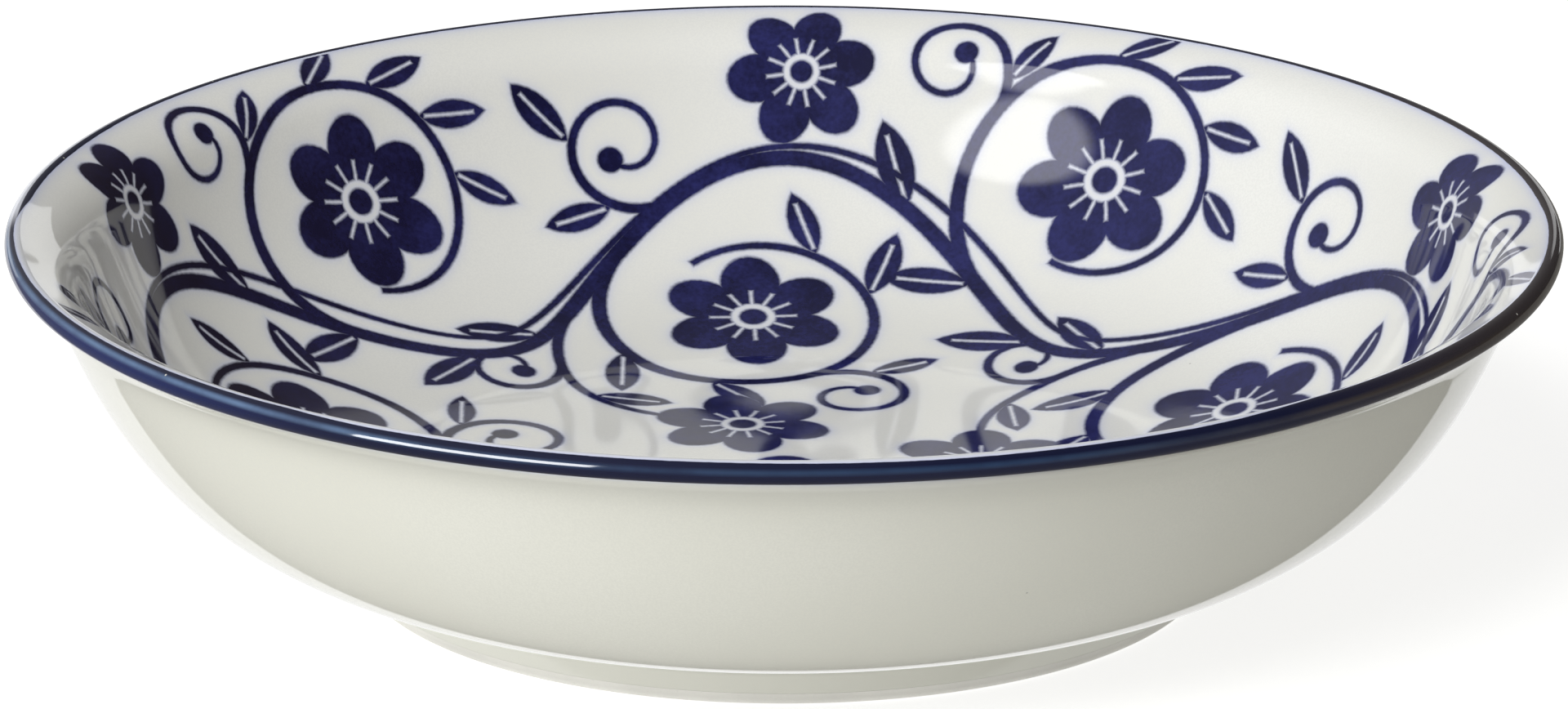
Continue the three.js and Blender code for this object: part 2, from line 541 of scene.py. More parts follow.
# Painted shade: the glaze is drawn greyer in the hollow under the lip and in the crease over the foot;
# painted light: the foot's face is drawn lighter
CREASE_SHADE = 0.8
SHADE_OVER_FOOT = 7 * MM
SHADE_UNDER_HEEL = 1.3 * MM
SHADE_UNDER_BAND = 2.5 * MM
SHADE_UNDER_LIP = 4 * MM
SHADE_LIP_SHARE = 0.35
# Painted light on the foot's face
FOOT_PAINTED_LIGHT = 1.27
FOOT_BLEND = 0.3 * MM

# The trace of paint that has run down from the band, longer and browner on the right
STAIN_REACH = 0.55 * MM
STAIN_REACH_RIGHT = 0.5 * MM
STAIN_STRETCH = (-0.2, 0.5)
STAIN_SCALE = 120.0
STAIN_UNEVEN = 0.8
STAIN_LEAD = 0.4
STAIN_SHARE = 0.4
STAIN_SHARE_RIGHT = 0.5


def inside_band(sheet, place, section):
    """How far a place lies inside the edge of the lip's paint, below zero under the paint."""
    x, y = sheet.axes(place, "XY")
    ragged = (sheet.noise(place, BAND_RAG_SCALE, 3.0) - 0.5) * BAND_RAG
    radius = far(x, y)
    front = y / radius * -1.0
    side = x / radius
    short = sheet.ramp(side, *TURNS_LEFT, BAND_SHORT_LEFT, 0.0)
    short = short + sheet.ramp(side, *TURNS_RIGHT, 0.0, BAND_SHORT_RIGHT)
    back = sheet.ramp(side, *TURNS_BACK_LEFT, BAND_SHORT_BACK_LEFT, BAND_SHORT_BACK)
    back = back + sheet.ramp(side, *TURNS_BACK_RIGHT, 0.0, BAND_SHORT_BACK_RIGHT - BAND_SHORT_BACK)
    short = short + (back - short) * sheet.ramp(front, *TURNS_BACK, 1.0, 0.0)
    short = short.higher(sheet.ramp(front, *TURNS_FRONT, BAND_SHORT_LEAST, BAND_SHORT_FRONT))
    dip = sheet.ramp(abs(side - DIP_MIDDLE), 0.0, DIP_HALF, DIP_DEPTH, 0.0)
    short = short + dip * front.over(0.0)
    return short + section.lip_centre.x - radius + ragged


def bled_white(sheet, place, white, bleed, away):
    """The inside's white, with blue that has run into it from the lip."""
    run = (away.higher(0.0) / -BLEED_REACH).exp() * BLEED_SHARE
    return sheet.mixed(run, glaze_white(sheet, place, white), bleed)


def glazed(sheet, place, base):
    """Ends a sheet in glaze: nearly mirror smooth, with duller patches, slow waves and a fine skin."""
    dull = sheet.ramp(sheet.noise(place, DULL_SCALE, 3.0), *DULL_PATCHES, GLAZE_SMOOTH, GLAZE_DULL)
    waves = sheet.noise(place, WAVE_SCALE, 1.0) * WAVE_HEIGHT
    peel = sheet.noise(place, PEEL_SCALE, 2.0) * PEEL_HEIGHT
    surfaced(sheet, base, dull, sheet.bump(waves + peel), IOR=GLAZE_INDEX)


def specks(sheet, place, share):
    """Pinholes and grains of iron in the glaze, from 0 to 1. Only a share of the cells has one."""
    cell = sheet.node("TexVoronoi", None, {"Vector": place, "Scale": SPECK_SCALE}, "Distance")
    tint = sheet.node("TexVoronoi", None, {"Vector": place, "Scale": SPECK_SCALE}, "Color")
    pick = sheet.node("SeparateColor", None, {"Color": tint})
    near = sheet.ramp(cell, *SPECK_SIZE, 1.0, 0.0)
    return near * pick.maths("LESS_THAN", pick, share)


def glaze_white(sheet, place, white):
    """The glaze's white: warmer and greyer where it lies thick, finely grained and lightly specked."""
    thick = tuple(tone * tint for tone, tint in zip(white, CLOUD_TINT))
    cloud = sheet.ramp(sheet.noise(place, CLOUD_SCALE, 3.0), *NOISE_SPAN)
    base = sheet.mixed(cloud, white, thick)
    grain = sheet.ramp(sheet.noise(place, GRAIN_SCALE, 2.0), *GRAIN_PATCHES, 0.0, GRAIN_SHARE)
    base = sheet.mixed(grain, base, shaded(white, GRAIN_SHADE))
    dots = specks(sheet, place, WHITE_SPECKS) * WHITE_SPECK_SHARE
    return sheet.mixed(dots, base, shaded(white, SPECK_SHADE))


def white_glaze(colours, section):
    """Cream-white glaze of the outside.

    It has painted shade, greyer in the hollow under the lip and over the foot, painted light that makes
    the foot lighter, and it is stained by the lip's paint under the band.
    """
    material, sheet = new_finish("white_glaze")
    place = sheet.place()
    x, y, height = sheet.axes(place, "XYZ")
    size = section.size
    foot = size.foot_height
    below_band = height - section.surface[section.lip_start].y
    base = glaze_white(sheet, place, colours.glaze)
    # Painted light: the foot's face is drawn lighter than the wall above it
    low = sheet.ramp(height, foot - FOOT_BLEND, foot, 1.0, 0.0)
    base = sheet.mixed(low, base, shaded(colours.glaze, FOOT_PAINTED_LIGHT))
    # Painted shade: greyer glaze in the crease over the foot and in the hollow under the lip
    heel = sheet.ramp(height, foot - SHADE_UNDER_HEEL, foot)
    heel = heel * sheet.ramp(height, foot, foot + SHADE_OVER_FOOT, 1.0, 0.0)
    heel = heel * far(x, y).over((size.foot_diameter - size.foot_width) / 2)
    hollow = abs(below_band + SHADE_UNDER_BAND)
    hollow = sheet.ramp(hollow, 0.0, SHADE_UNDER_LIP, SHADE_LIP_SHARE, 0.0)
    base = sheet.mixed(heel.higher(hollow), base, shaded(colours.glaze, CREASE_SHADE))
    right = sheet.ramp(x / section.lip_centre.x, *STAIN_STRETCH)
    uneven = sheet.noise(place, STAIN_SCALE, 3.0) * STAIN_UNEVEN
    run = below_band / (right * STAIN_REACH_RIGHT + STAIN_REACH) - uneven + STAIN_LEAD
    run = run.exp().clamped(0.0, 1.0)
    stain = sheet.mixed(right, colours.bleed, colours.right_band)
    base = sheet.mixed(run * (right * STAIN_SHARE_RIGHT + STAIN_SHARE), base, stain)
    glazed(sheet, place, base)
    return material


def band_blue(colours, section):
    """Dark blue of the lip, with a painted sheen of paler blue along a line on the outside of its round.

    It is paler on the left as painted light, browner on the right, pale on its top at the left end, and
    it stops near the top of the lip.
    """
    material, sheet = new_finish("blue_band")
    place = sheet.place()
    x, y, z = sheet.axes(place, "XYZ")
    radius = far(x, y)
    rise = turn_of(z - section.lip_centre.y, radius - section.lip_centre.x)
    across = x / section.lip_centre.x
    # Painted sheen: a line of paler blue along the lip's round, at a tilt that rises from the front to
    # the left, in random patches
    sheen_tilt = sheet.ramp(across, *SHEEN_STRETCH, SHEEN_TILT_LEFT, SHEEN_TILT_FRONT)
    thin = sheet.ramp(sheet.noise(place, SHEEN_SCALE, 4.0, 0.6), *SHEEN_PATCHES, SHEEN_LEAST, 1.0)
    thin = thin * sheet.ramp(abs(rise - sheen_tilt), 0.0, SHEEN_REACH, 1.0, 0.0)
    # Painted light: the sheen's blue is paler on the left
    left = sheet.ramp(across, *LEFT_STRETCH, 1.0, 0.0)
    paint = sheet.mixed(left, colours.front_band_sheen, colours.left_band_sheen)
    paint = sheet.mixed(sheet.ramp(across, *RIGHT_STRETCH), paint, colours.right_band)
    # Painted light: on the left the dark blue below the sheen is drawn bluer
    below = sheet.ramp(rise - sheen_tilt, *LEFT_EDGE_TILT, 1.0, 0.0)
    below = below * sheet.ramp(across, *LEFT_EDGE_STRETCH, 1.0, 0.0)
    dark = sheet.mixed(below, colours.band, colours.lit_left_edge)
    blue = sheet.mixed(thin, dark, paint)
    # The lip is drawn browner towards the right
    browner = sheet.ramp(across, *BROWNER_STRETCH, 0.0, BROWNER_SHARE)
    blue = sheet.mixed(browner, blue, colours.right_band)
    dots = specks(sheet, place, BAND_SPECKS) * BAND_SPECK_SHARE
    blue = sheet.mixed(dots, blue, colours.glaze)
    front = y / radius * -1.0
    # The top of the lip at the left end is drawn pale
    pale_top = sheet.ramp(front, *PALE_TOP_BACK) * sheet.ramp(front, *PALE_TOP_FRONT, 1.0, 0.0)
    pale_top = pale_top * sheet.ramp(rise, *PALE_TOP_LOW) * sheet.ramp(rise, *PALE_TOP_HIGH, 1.0, 0.0)
    pale_top = pale_top * (1.0 - x.over(0.0)) * PALE_TOP_SHARE
    pale = [tone + (tint - tone) * PALE_TOP_BLEED for tone, tint in zip(colours.inside, colours.bleed)]
    blue = sheet.mixed(pale_top, blue, pale)
    away = inside_band(sheet, place, section)
    white = bled_white(sheet, place, colours.inside, colours.bleed, away)
    glazed(sheet, place, sheet.mixed(sheet.ramp(away, *BAND_EDGE), blue, white))
    return material


# Bare clay: how it is stained, and its grains
CLAY_SHADE = 0.9
CLAY_STAIN_SCALE = 60.0
CLAY_STAINS = (0.35, 0.75)
CLAY_GRAIN_SCALE = 2600.0
CLAY_GRAINS = (0.62, 0.72)
CLAY_GRAIN_SHARE = 0.5
CLAY_GRAIN_HEIGHT = 0.03 * MM
CLAY_ROUGHNESS = (0.75, 0.92)


def bare_clay(colours):
    """Fired clay without glaze: matt, grainy and a little stained."""
    material, sheet = new_finish("bare_clay")
    place = sheet.place()
    stain = sheet.ramp(sheet.noise(place, CLAY_STAIN_SCALE, 4.0), *CLAY_STAINS)
    dark = shaded(colours.clay, CLAY_SHADE)
    base = sheet.mixed(stain, colours.clay, dark)
    grains = sheet.noise(place, CLAY_GRAIN_SCALE, 2.0)
    base = sheet.mixed(sheet.ramp(grains, *CLAY_GRAINS) * CLAY_GRAIN_SHARE, base, dark)
    bump = sheet.bump(grains * CLAY_GRAIN_HEIGHT)
    surfaced(sheet, base, sheet.ramp(grains, *NOISE_SPAN, *CLAY_ROUGHNESS), bump)
    return material


# The print, in millimetres: a waving vine that repeats round the bowl, with curls, leaves and blossoms
REPEATS = 5
PART = 2 * math.pi / REPEATS
VINE_RADIUS = 72.0
VINE_WAVE = 14.0
THREAD_ASIDE = 2.6
THREAD_WAVE = 1.5
THREAD_AHEAD = math.radians(40)
LEAF_STALK = 0.6
VEIN_HALF = 0.22
RAY_HALF = 0.2
SMALLEST = 1e-4

# Parts of a leaf as shares of its length, and parts of a blossom as shares of its radius
VEIN_MIDDLE = 0.46
VEIN_REACH = 0.36
PETAL_MIDDLE = 0.60
PETAL_REACH = 0.41
PETAL_HALF = 0.335
HEART = 0.42
RING = 0.20
RING_HALF = 0.045
RAY_MIDDLE = 0.33
RAY_REACH = 0.14

# The ink: how soft and ragged its edge is, and how far it has run into the glaze, in millimetres
INK_EDGE = 0.6
INK_RAG = 0.22
INK_RAG_SCALE = 1500.0
INK_RUN = 0.55
INK_RUN_SHARE = 0.44

# The ink's patches, and how its tone changes from left to right and from the middle to the back: the
# darker left, strongest in front, is painted shade
PATCH_SCALE = 110.0
PATCH_SHARE = 0.7
DOT_SCALE = 1400.0
DOT_SHARE = 0.3
INK_PATCHES = (0.36, 0.72)
INK_RIGHT = (0.0, 0.55)
INK_RIGHT_SHARE = 0.2
INK_SHADE_LEFT = (-0.82, -0.1)
INK_SHADE_SHARE = 0.9
INK_SHADE_BACK = (0.0, 0.7)
INK_SHADE_BACK_SHARE = 0.45


def on_vine(degrees):
    """Place and heading on the vine at an angle round the bowl, for stems and leaves to grow from."""
    turn = math.radians(degrees)
    radius = VINE_RADIUS + VINE_WAVE * math.sin(REPEATS * turn)
    climb = VINE_WAVE * REPEATS * math.cos(REPEATS * turn)
    return radius * math.cos(turn), radius * math.sin(turn), turn + math.atan2(radius, climb)


class Print:
    """Draws the print as one signed distance in millimetres, below zero in the ink."""

    def __init__(self, sheet):
        plan = sheet.node("Attribute", {"attribute_name": "print_plan"}, None, "Vector")
        self.x, self.y = sheet.axes(plan, "XY")
        self.radius = far(self.x, self.y)
        self.turn = turn_of(self.y, self.x)
        self.ink = None

    def add(self, distance):
        self.ink = distance if self.ink is None else self.ink.lower(distance)

    def local(self, x, y, heading):
        """Coordinates about a place, along a heading and to its left, repeated round the bowl."""
        away = math.hypot(x, y)
        lean = heading - math.atan2(y, x)
        turn = (self.turn - heading).wrapped(-PART / 2 - lean, PART / 2 - lean)
        ahead = self.radius * turn.cos() - away * math.cos(lean)
        aside = self.radius * turn.sin() + away * math.sin(lean)
        return ahead, aside

    def vine(self, width, thread):
        """The vine and a thinner thread that weaves beside it."""
        wave = self.turn * REPEATS
        climb = wave.cos() * (VINE_WAVE * REPEATS) / self.radius
        aside = (self.radius - VINE_RADIUS - wave.sin() * VINE_WAVE) / (climb * climb + 1.0).root()
        self.add(abs(aside) - width / 2)
        weave = (wave + THREAD_AHEAD).cos() * THREAD_WAVE
        self.add(abs(aside - weave - THREAD_ASIDE) - thread / 2)

    def curl(self, start, size, sweep, shrink, side, widths, berry=0.0):
        """A stem that leaves a path and winds inwards, to the left or the right."""
        path = Curl(start, size, sweep, shrink, side)
        x, y = self.local(path.x, path.y, path.first)
        radius = far(x, y)
        turn = (turn_of(y, x) * side).wrapped(0.0, 2 * math.pi)
        wound = (radius / size).higher(SMALLEST).log() / path.pull
        most = math.floor(path.sweep / (2 * math.pi))
        laps = round((wound - turn) / (2 * math.pi)).clamped(0.0, most)
        turn = turn + laps * (2 * math.pi)
        width = turn * ((widths[1] - widths[0]) / path.sweep / 2) + widths[0] / 2
        stem = abs(radius - (turn * path.pull).exp() * size) - width
        self.add(stem.higher((turn - path.sweep) * radius))
        if berry:
            self.add(far(*self.local(*path.at(sweep))) - berry)
        return path

    def leaf(self, start, side, lean, size, width):
        """A pointed leaf with a white vein, leaning off its stem."""
        x, y, heading = start
        heading += side * math.radians(lean)
        x += LEAF_STALK * math.cos(heading)
        y += LEAF_STALK * math.sin(heading)
        x, y = self.local(x, y, heading)
        bow = (size * size + width * width) / (4 * width)
        aside = abs(y)
        blade = far(x - size / 2, aside + (bow - width / 2)) - bow
        vein = (VEIN_HALF - aside).lower(size * VEIN_REACH - abs(x - size * VEIN_MIDDLE))
        self.add(blade.higher(vein))

    def blossom(self, x, y, size, petals, turned_by):
        """A blossom with round petals, a white ring and thin white rays."""
        radius = far(x, y)
        turn = turn_of(y, x) + math.radians(turned_by)
        half = math.pi / petals
        fold = abs(turn.wrapped(-half, half))
        out = (radius * fold.cos() - size * PETAL_MIDDLE) / (size * PETAL_REACH)
        aside = radius * fold.sin() / (size * PETAL_HALF)
        petal = (far(out, aside) - 1.0) * (size * PETAL_HALF)
        heart = petal.lower(radius - size * HEART)
        ring = size * RING_HALF - abs(radius - size * RING)
        ray = abs(turn.wrapped(-half / 2, half / 2)) * radius
        rays = (RAY_HALF - ray).lower(size * RAY_REACH - abs(radius - size * RAY_MIDDLE))
        self.add(heart.higher(ring.higher(rays)))

    def blossom_at(self, x, y, size, turned_by=0.0, petals=6):
        self.blossom(*self.local(x, y, math.atan2(y, x)), size, petals, turned_by)


class Curl:
    """Where a curl lies: its middle, its first direction and how fast it winds in."""

    def __init__(self, start, size, sweep, shrink, side):
        x, y, heading = start
        self.size = size
        self.side = side
        self.sweep = math.radians(sweep)
        self.pull = math.log(shrink) / self.sweep
        self.first = heading - math.atan2(side, self.pull)
        self.x = x - size * math.cos(self.first)
        self.y = y - size * math.sin(self.first)

    def at(self, degrees):
        """Place and heading on the curl after an angle of winding."""
        turn = math.radians(degrees)
        radius = self.size * math.exp(self.pull * turn)
        direction = self.first + self.side * turn
        heading = direction + math.atan2(self.side, self.pull)
        return self.x + radius * math.cos(direction), self.y + radius * math.sin(direction), heading


# Sides of a stem
LEFT = 1
RIGHT = -1


def draw_scroll(sheet):
    """Draws every motif once. The plan repeats them round the bowl."""
    scroll = Print(sheet)
    scroll.vine(2.4, 1.1)
    outer = scroll.curl(on_vine(-3), 22, 345, 0.6, RIGHT, (2.3, 1.1))
    scroll.blossom_at(outer.x, outer.y, 12.6, 10)
    inner = scroll.curl(on_vine(34), 20.5, 345, 0.62, LEFT, (2.2, 1.1))
    scroll.blossom_at(inner.x, inner.y, 11.6)
    rim_curl = scroll.curl(outer.at(75), 10, 450, 0.3, LEFT, (1.7, 0.9), 1.9)
    crest_curl = scroll.curl(on_vine(-44), 10.5, 440, 0.3, RIGHT, (1.7, 0.9), 1.9)
    inner_curl = scroll.curl(inner.at(150), 9, 440, 0.3, RIGHT, (1.6, 0.9), 1.7)
    drop = scroll.curl(on_vine(-30), 24, 95, 0.8, LEFT, (1.8, 1.1))
    x, y, heading = drop.at(95)
    ahead = 9.5
    scroll.blossom_at(x + ahead * math.cos(heading), y + ahead * math.sin(heading), 11)
    scroll.curl(drop.at(35), 7, 400, 0.3, RIGHT, (1.5, 0.8), 1.6)
    crest = math.radians(16.5)
    crest_radius = 98.5
    scroll.blossom_at(crest_radius * math.cos(crest), crest_radius * math.sin(crest), 11, 20)
    for start, side, lean, size, width in (
        (on_vine(6), RIGHT, 30, 13, 5.2),
        (on_vine(-3), LEFT, 50, 12, 4.8),
        (on_vine(-14), LEFT, 40, 12, 4.8),
        (on_vine(-24), RIGHT, 50, 11, 4.4),
        (outer.at(138), LEFT, 30, 11, 4.4),
        (outer.at(172), LEFT, 35, 12, 4.8),
        (outer.at(205), LEFT, 45, 11, 4.4),
        (outer.at(238), LEFT, 45, 10, 4),
        (inner.at(66), RIGHT, 35, 11, 4.4),
        (inner.at(108), RIGHT, 40, 11, 4.4),
        (inner.at(230), RIGHT, 40, 11, 4.4),
        (inner.at(270), RIGHT, 40, 10, 4),
        (inner_curl.at(50), LEFT, 40, 9, 3.6),
        (drop.at(60), LEFT, 40, 10, 4.2),
        (rim_curl.at(30), RIGHT, 35, 10, 4),
        (crest_curl.at(52), LEFT, 40, 10, 4),
        (crest_curl.at(128), LEFT, 55, 12, 4.8),
    ):
        scroll.leaf(start, side, lean, size, width)
    scroll.blossom(scroll.x, scroll.y, 14.5, 8, 0)
    return scroll


def printed_glaze(colours, section):
    """White glaze over the blue print, whose edges have run a little.

    The ink is darker and browner on the left as painted shade, most of all in front, and a little thinner
    on the right.
    """
    material, sheet = new_finish("printed_glaze")
    place = sheet.place()
    scroll = draw_scroll(sheet)
    edge = scroll.ink + (sheet.noise(place, INK_RAG_SCALE, 2.0) - 0.5) * INK_RAG
    ink = sheet.ramp(edge, -INK_EDGE / 2, INK_EDGE / 2, 1.0, 0.0)
    run = (edge.higher(0.0) / -INK_RUN).exp() * INK_RUN_SHARE
    away = inside_band(sheet, place, section)
    white = bled_white(sheet, place, colours.inside, colours.bleed, away)
    white = sheet.mixed(run, white, colours.bleed)
    patches = sheet.noise(place, PATCH_SCALE, 4.0, 0.6) * PATCH_SHARE
    patches = patches + sheet.noise(place, DOT_SCALE, 2.0) * DOT_SHARE
    thin = sheet.ramp(patches, *INK_PATCHES)
    across, back = [axis / section.lip_centre.x for axis in sheet.axes(place, "XY")]
    thin = thin + (1.0 - thin) * sheet.ramp(across, *INK_RIGHT, 0.0, INK_RIGHT_SHARE)
    blue = sheet.mixed(thin, colours.ink, colours.thin_ink)
    # Painted shade: the ink on the left, most of all in front, is drawn darker and browner
    dark = sheet.ramp(across, *INK_SHADE_LEFT, INK_SHADE_SHARE, 0.0)
    dark = dark * sheet.ramp(back, *INK_SHADE_BACK, 1.0, INK_SHADE_BACK_SHARE)
    blue = sheet.mixed(dark, blue, colours.shaded_left_ink)
    glazed(sheet, place, sheet.mixed(ink, white, blue))
    return material


# The map for baking: the middle and the reach of the inside's face and of the coat's back on it
FACE_SPOT = (0.5, 0.495)
BACK_SPOT = (0.072, 0.066)
FACE_WITHIN = 0.05 * MM


def plan_table(face):
    """Radii of the inside from the middle out, and the plan radii that keep its angles as they are."""
    points = face[::-1]
    radii = [0.0, points[1].x]
    plan = [0.0, 1.0]
    for start, end in zip(points[1:], points[2:]):
        mean = (end.x - start.x) / math.log(end.x / start.x)
        radii.append(end.x)
        plan.append(plan[-1] * math.exp((end - start).length / mean))
    return radii, [PLAN_RADIUS * each / plan[-1] for each in plan]


def lay_plan(piece, face):
    """Stores the print's plan on the inside, and a map for baking with the coat's back in a corner."""
    radii, plan = plan_table(face)
    heights = [point.y for point in face[::-1]]
    mesh = piece.data
    places = []
    on_face = []
    for vertex in mesh.vertices:
        radius = math.hypot(vertex.co.x, vertex.co.y)
        i = min(max(bisect_left(radii, radius), 1), len(radii) - 1)
        share = (radius - radii[i - 1]) / (radii[i] - radii[i - 1])
        flat = plan[i - 1] + (plan[i] - plan[i - 1]) * share
        level = heights[i - 1] + (heights[i] - heights[i - 1]) * share
        scale = flat / radius if radius > WELD else 0.0
        places.append((vertex.co.x * scale, vertex.co.y * scale))
        on_face.append(abs(vertex.co.z - level) < FACE_WITHIN)
    stored = mesh.attributes.new("print_plan", "FLOAT_VECTOR", "POINT")
    stored.data.foreach_set("vector", [number for x, y in places for number in (x, y, 0.0)])
    baking = mesh.uv_layers.new(name="OFBake")
    spots = []
    for polygon in mesh.polygons:
        front = all(on_face[i] for i in polygon.vertices)
        middle, reach = FACE_SPOT if front else BACK_SPOT
        for i in polygon.vertices:
            spots += [middle + reach * number / PLAN_RADIUS for number in places[i]]
    baking.uv.foreach_set("vector", spots)


def section_of(context):
    """The section at the sizes that are set."""
    return Section(context.scene.bowl_sizes)


class BOWL_OT_clay(bpy.types.Operator):
    """Turn the fired clay of the bowl and its foot ring"""

    bl_idname = "bowl.clay"
    bl_label = "Clay body and foot ring"

    def execute(self, context):
        size = context.scene.bowl_sizes
        section = section_of(context)
        finish = bare_clay(context.scene.bowl_colours)
        finished(turned("clay_bowl", section.clay), finish, "bowl_body")
        set_back = size.glaze_thickness + size.seat
        bare_top = size.bare_height - size.seat
        top = size.foot_height + size.glaze_thickness
        inner = section.foot_inside(0) + Vector((size.foot_edge, size.foot_edge))
        outer = section.foot_outside(0) + Vector((-size.foot_edge, size.foot_edge))
        outline = [along(inner, math.pi * (1 + t / 2), size.foot_edge) for t in shares(EDGE_STEPS)]
        outline += [along(outer, math.pi * (1.5 + t / 2), size.foot_edge) for t in shares(EDGE_STEPS)]
        outline += [
            section.foot_outside(bare_top),
            section.foot_outside(bare_top, set_back),
            section.foot_outside(top, set_back),
            section.foot_inside(top, set_back),
            section.foot_inside(bare_top, set_back),
            section.foot_inside(bare_top),
        ]
        finished(turned("clay_foot", [*outline, outline[0]]), finish, "foot_ring")
        return {"FINISHED"}


class BOWL_OT_white_coats(bpy.types.Operator):
    """Glaze the outer wall, the foot's outer face and the recess under the floor"""

    bl_idname = "bowl.white_coats"
    bl_label = "White glaze coats"

    def execute(self, context):
        size = context.scene.bowl_sizes
        section = section_of(context)
        finish = white_glaze(context.scene.bowl_colours, section)
        wall = turned("glaze_outside", section.coat(section.heel, section.lip_start))
        finished(wall, finish, "outside_glaze")
        top = size.foot_height - size.seat
        bare = size.bare_height
        thick = size.glaze_thickness
        outline = [
            section.foot_outside(bare),
            section.foot_outside(top),
            section.foot_outside(top, thick),
            section.foot_outside(bare, thick),
        ]
        finished(turned("glaze_foot", [*outline, outline[0]]), finish, "foot_glaze")
        back = size.foot_height + thick
        outline = [
            Vector((0, size.foot_height)),
            section.foot_inside(size.foot_height),
            section.foot_inside(bare),
            section.foot_inside(bare, thick),
            section.foot_inside(back, thick),
            Vector((0, back)),
        ]
        finished(turned("glaze_recess", outline), finish, "base_glaze")
        return {"FINISHED"}


class BOWL_OT_lip_band(bpy.types.Operator):
    """Paint the dark blue band round the lip"""

    bl_idname = "bowl.lip_band"
    bl_label = "Lip band"

    def execute(self, context):
        section = section_of(context)
        band = turned("band_lip", section.coat(section.lip_start, section.lip_end))
        finish = band_blue(context.scene.bowl_colours, section)
        finished(band, finish, "rim_band")
        return {"FINISHED"}


class BOWL_OT_printed_inside(bpy.types.Operator):
    """Glaze the inside over its blue print"""

    bl_idname = "bowl.printed_inside"
    bl_label = "Printed inside"

    def execute(self, context):
        section = section_of(context)
        coat = turned("glaze_inside", section.coat(section.lip_end, section.middle))
        lay_plan(coat, section.surface[section.lip_end :])
        finish = printed_glaze(context.scene.bowl_colours, section)
        finished(coat, finish, "inside_glaze")
        return {"FINISHED"}


# Camera
CAMERA_DISTANCE = 1.7
CAMERA_HEIGHT = 0.025
CAMERA_ELEVATION = math.radians(17.97)
CAMERA_TILT = math.radians(17.811)
PICTURE_WIDTH = 1920
FOCAL_PIXELS = 15371
SENSOR_WIDTH = 36.0

# Room: colours, bearings from straight behind the bowl, and heights and sides as parts of a direction
WHITE = (1.0, 1.0, 1.0, 1.0)
BLACK = (0.0, 0.0, 0.0, 1.0)
ROOM_LEFT = (0.98, 0.98, 0.97, 1.0)
ROOM_RIGHT = (0.11, 0.096, 0.074, 1.0)
ROOM_SIDES = (-0.9, 0.9)
CEILING = (0.17, 0.17, 0.166, 1.0)
CEILING_STARTS = (0.45, 0.8)
BACKDROP_LEFT = math.radians(-32.6)
BACKDROP_RIGHT = math.radians(24.6)
BACKDROP_ENDS = (0.35, 0.65)

# The same room as the glaze mirrors it, with a lower backdrop and a bright panel on it
MIRRORED_LEFT = (0.4, 0.4, 0.4, 1.0)
MIRRORED_RIGHT = (0.05, 0.045, 0.04, 1.0)
MIRRORED_SIDES = (-0.9, 0.6)
BACKDROP_TOP = 0.12
PANEL_LEFT = math.radians(8)
PANEL_RIGHT = math.radians(15.5)
PANEL_BOTTOM = 0.05
PANEL_TOP = 0.3

# Light table: its paint and glow, and where its bright part ends in mirror images
FLOOR_SIDE = 6.0
FLOOR_DROP = 0.05 * MM
TABLE_PAINT = (0.5, 0.5, 0.49, 1.0)
TABLE_DIM = (0.25, 0.24, 0.22, 1.0)
TABLE_SHOWN = 0.76
TABLE_FRONT = -58 * MM
TABLE_RIGHT = 125 * MM
TABLE_BEND = 4.9
TABLE_EDGE = 2 * MM
GLOW_LEFT = 0.8
GLOW_RIGHT = 0.33
GLOW_REACH = 0.13

# Lamps: the place that they point at, and the key lamp, which is only mirrored and has sharper edges
LAMP_AIM = Vector((0, 0, 0.03))
MIRRORED_KEY = {"lights": False, "core": 0.75, "fade": 0.25}


def ray_is(sheet, *kinds):
    """1 for rays of the kinds named, 0 for others."""
    found = None
    for kind in kinds:
        one = sheet.node("LightPath", None, None, f"Is {kind} Ray")
        found = found.higher(one) if found else one
    return found


def light_world(scene):
    """A white backdrop in a soft room: bright on the left, dim and warm on the right, dark above.

    The glaze mirrors a darker room, and the camera sees white all round.
    """
    world = bpy.data.worlds.new("studio")
    world.use_nodes = True
    scene.world = world
    sheet = Sheet(world.node_tree)
    way = sheet.node("TexCoord", None, None, "Generated")
    x, y, z = sheet.axes(way, "XYZ")
    bearing = turn_of(x, y)
    backdrop = bearing.over(BACKDROP_LEFT) * (1.0 - bearing.over(BACKDROP_RIGHT))
    room = sheet.mixed(sheet.ramp(x, *ROOM_SIDES), ROOM_LEFT, ROOM_RIGHT)
    room = sheet.mixed(sheet.ramp(z, *CEILING_STARTS), room, CEILING)
    around = sheet.mixed(backdrop * sheet.ramp(z, *BACKDROP_ENDS, 1.0, 0.0), room, WHITE)
    mirrored = sheet.mixed(sheet.ramp(x, *MIRRORED_SIDES), MIRRORED_LEFT, MIRRORED_RIGHT)
    low_backdrop = backdrop * (1.0 - z.over(BACKDROP_TOP))
    low_backdrop = low_backdrop * (1.0 - z.over(PANEL_BOTTOM) * bearing.over(PANEL_RIGHT))
    panel = bearing.over(PANEL_LEFT) * (1.0 - bearing.over(PANEL_RIGHT))
    panel = panel * z.over(PANEL_BOTTOM) * (1.0 - z.over(PANEL_TOP))
    mirrored = sheet.mixed(low_backdrop.higher(panel), mirrored, WHITE)
    around = sheet.mixed(ray_is(sheet, "Glossy"), around, mirrored)
    shown = sheet.mixed(ray_is(sheet, "Camera"), around, WHITE)
    background = sheet.node("Background", None, {"Color": shown, "Strength": 1.0})
    sheet.node("OutputWorld", None, {"Surface": background})


